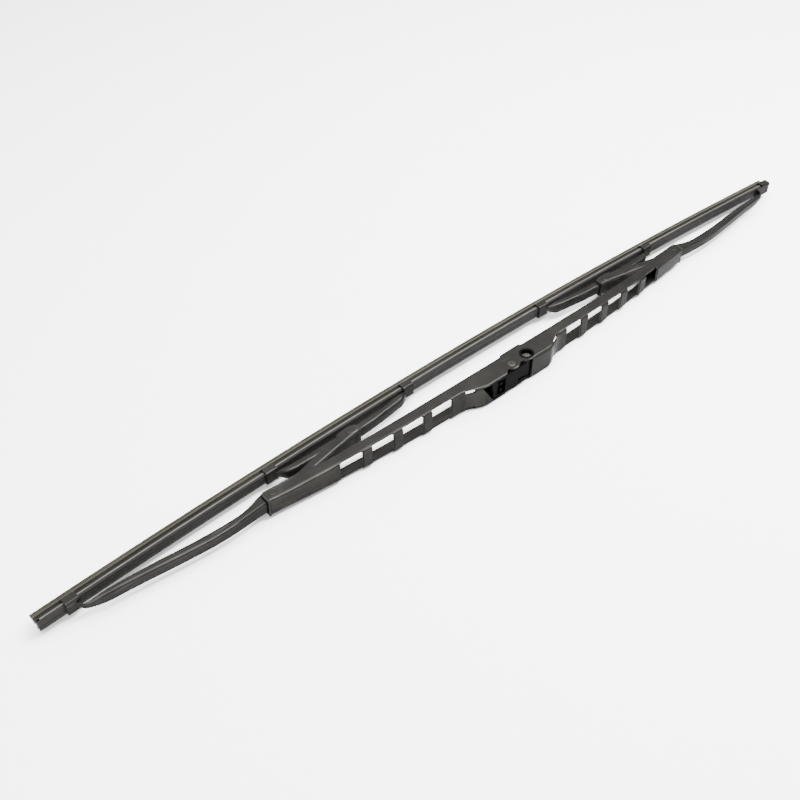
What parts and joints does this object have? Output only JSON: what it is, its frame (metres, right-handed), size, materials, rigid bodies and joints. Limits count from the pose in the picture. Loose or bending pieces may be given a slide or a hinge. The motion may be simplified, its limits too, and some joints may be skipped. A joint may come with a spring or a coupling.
{
  "type": "wiper blade",
  "caption": "Framed wiper blade: an arched, windowed steel bridge carries hinged yokes whose claws hold a bowed rubber refill with spring rails; hollow arm tube and hook adapter in the middle.",
  "frame": {"origin": "on the axis of the arm tube's bore, half way across the blade's width", "axes": "+X along the blade from the free-ended claw to the closed end claw, +Y from the bridge towards the glass, +Z across the blade along the tube's bore; the blade lies on its side with -Z down"},
  "size_m": [0.6, 0.0449, 0.0182],
  "materials": {
    "painted_steel": "semi-gloss black paint over pressed steel, warm grey where light grazes the bends",
    "rubber": "matte, slightly chalky rubber",
    "spring_steel": "bright rolled edge",
    "adapter_plastic": "glossy black moulding",
    "liner_plastic": "satin black moulding"
  },
  "bodies": {
    "bridge": {"main_bridge": "painted_steel", "arm_tube": "painted_steel", "cross_rivet": "painted_steel", "left_main_rivet": "painted_steel", "right_main_rivet": "painted_steel", "left_main_liner": "liner_plastic", "right_main_liner": "liner_plastic"},
    "adapter": {"arm_adapter": "adapter_plastic"},
    "left_outer": {"left_outer_yoke": "painted_steel", "left_inner_rivet": "painted_steel", "left_inner_liner": "liner_plastic"},
    "right_outer": {"right_outer_yoke": "painted_steel", "right_inner_rivet": "painted_steel", "right_inner_liner": "liner_plastic"},
    "left_inner": {"left_inner_yoke": "painted_steel"},
    "right_inner": {"right_inner_yoke": "painted_steel"},
    "refill": {"wiping_rubber": "rubber", "upper_rail": "spring_steel", "lower_rail": "spring_steel"}
  },
  "joints": [
    {"name": "adapter_pivot", "type": "hinge", "parent": "bridge", "child": "adapter", "pos_m": [-0.0138, -0.0007, 0], "axis": [0, 0, 1], "range_deg": [-12, 40]},
    {"name": "left_outer_pivot", "type": "hinge", "parent": "bridge", "child": "left_outer", "pos_m": [-0.1826, 0.01194, 0], "axis": [0, 0, -1], "range_deg": [-1, 6], "stiffness_Nm_per_rad": 0.68},
    {"name": "right_outer_pivot", "type": "hinge", "parent": "bridge", "child": "right_outer", "pos_m": [0.1574, 0.01194, 0], "axis": [0, 0, 1], "range_deg": [-1, 6]},
    {"name": "left_inner_pivot", "type": "hinge", "parent": "left_outer", "child": "left_inner", "pos_m": [-0.122, 0.02143, 0], "axis": [0, 0, -1], "range_deg": [-2.6, 0.5]},
    {"name": "right_inner_pivot", "type": "hinge", "parent": "right_outer", "child": "right_inner", "pos_m": [0.0968, 0.02143, 0], "axis": [0, 0, 1], "range_deg": [-2.6, 0.5]},
    {"name": "rubber_middle", "type": "slide", "parent": "bridge", "child": "refill", "axis": [0, -1, 0], "range_m": [-0.0018, 0.0098], "deforming": ["wiping_rubber", "upper_rail", "lower_rail"]}
  ],
  "couplings": [
    {"joint": "right_outer_pivot", "follows": "left_outer_pivot", "ratio": 1},
    {"joint": "left_inner_pivot", "follows": "left_outer_pivot", "ratio": -0.42},
    {"joint": "right_inner_pivot", "follows": "left_outer_pivot", "ratio": -0.42},
    {"joint": "rubber_middle", "follows": "left_outer_pivot", "m_per_rad": 0.092}
  ]
}
